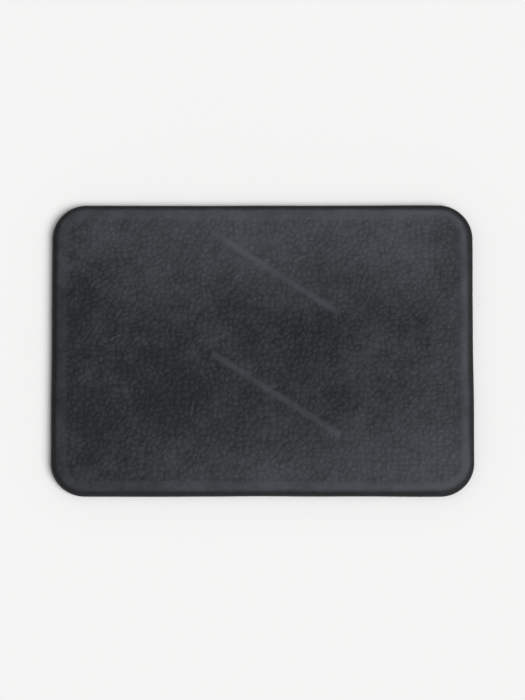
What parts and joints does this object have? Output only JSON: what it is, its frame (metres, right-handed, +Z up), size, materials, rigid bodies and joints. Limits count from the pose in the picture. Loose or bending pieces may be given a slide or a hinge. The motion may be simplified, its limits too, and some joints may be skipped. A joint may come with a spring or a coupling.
{
  "type": "snowboard stomp pad",
  "caption": "Stick-on rectangular grip pad with rounded corners, a grained foam tread framed by a plain border, and a double-coated tape underneath.",
  "frame": {"origin": "centre of the bonding face that lies on the board's deck", "axes": "+X along the pad's long side, which lies across the board; +Y along the board; +Z up, out of the deck"},
  "size_m": [0.13, 0.091, 0.004],
  "materials": {
    "tread_foam": "matte grained moulded EVA foam, charcoal black",
    "tape_foam": "fine closed-cell polyethylene foam, mid grey",
    "adhesive": "tacky acrylic adhesive, slightly yellow, glossy"
  },
  "bodies": {
    "root": {"tread_pad": "tread_foam", "tape_upper_adhesive": "adhesive", "tape_foam_core": "tape_foam", "tape_lower_adhesive": "adhesive"}
  },
  "joints": []
}
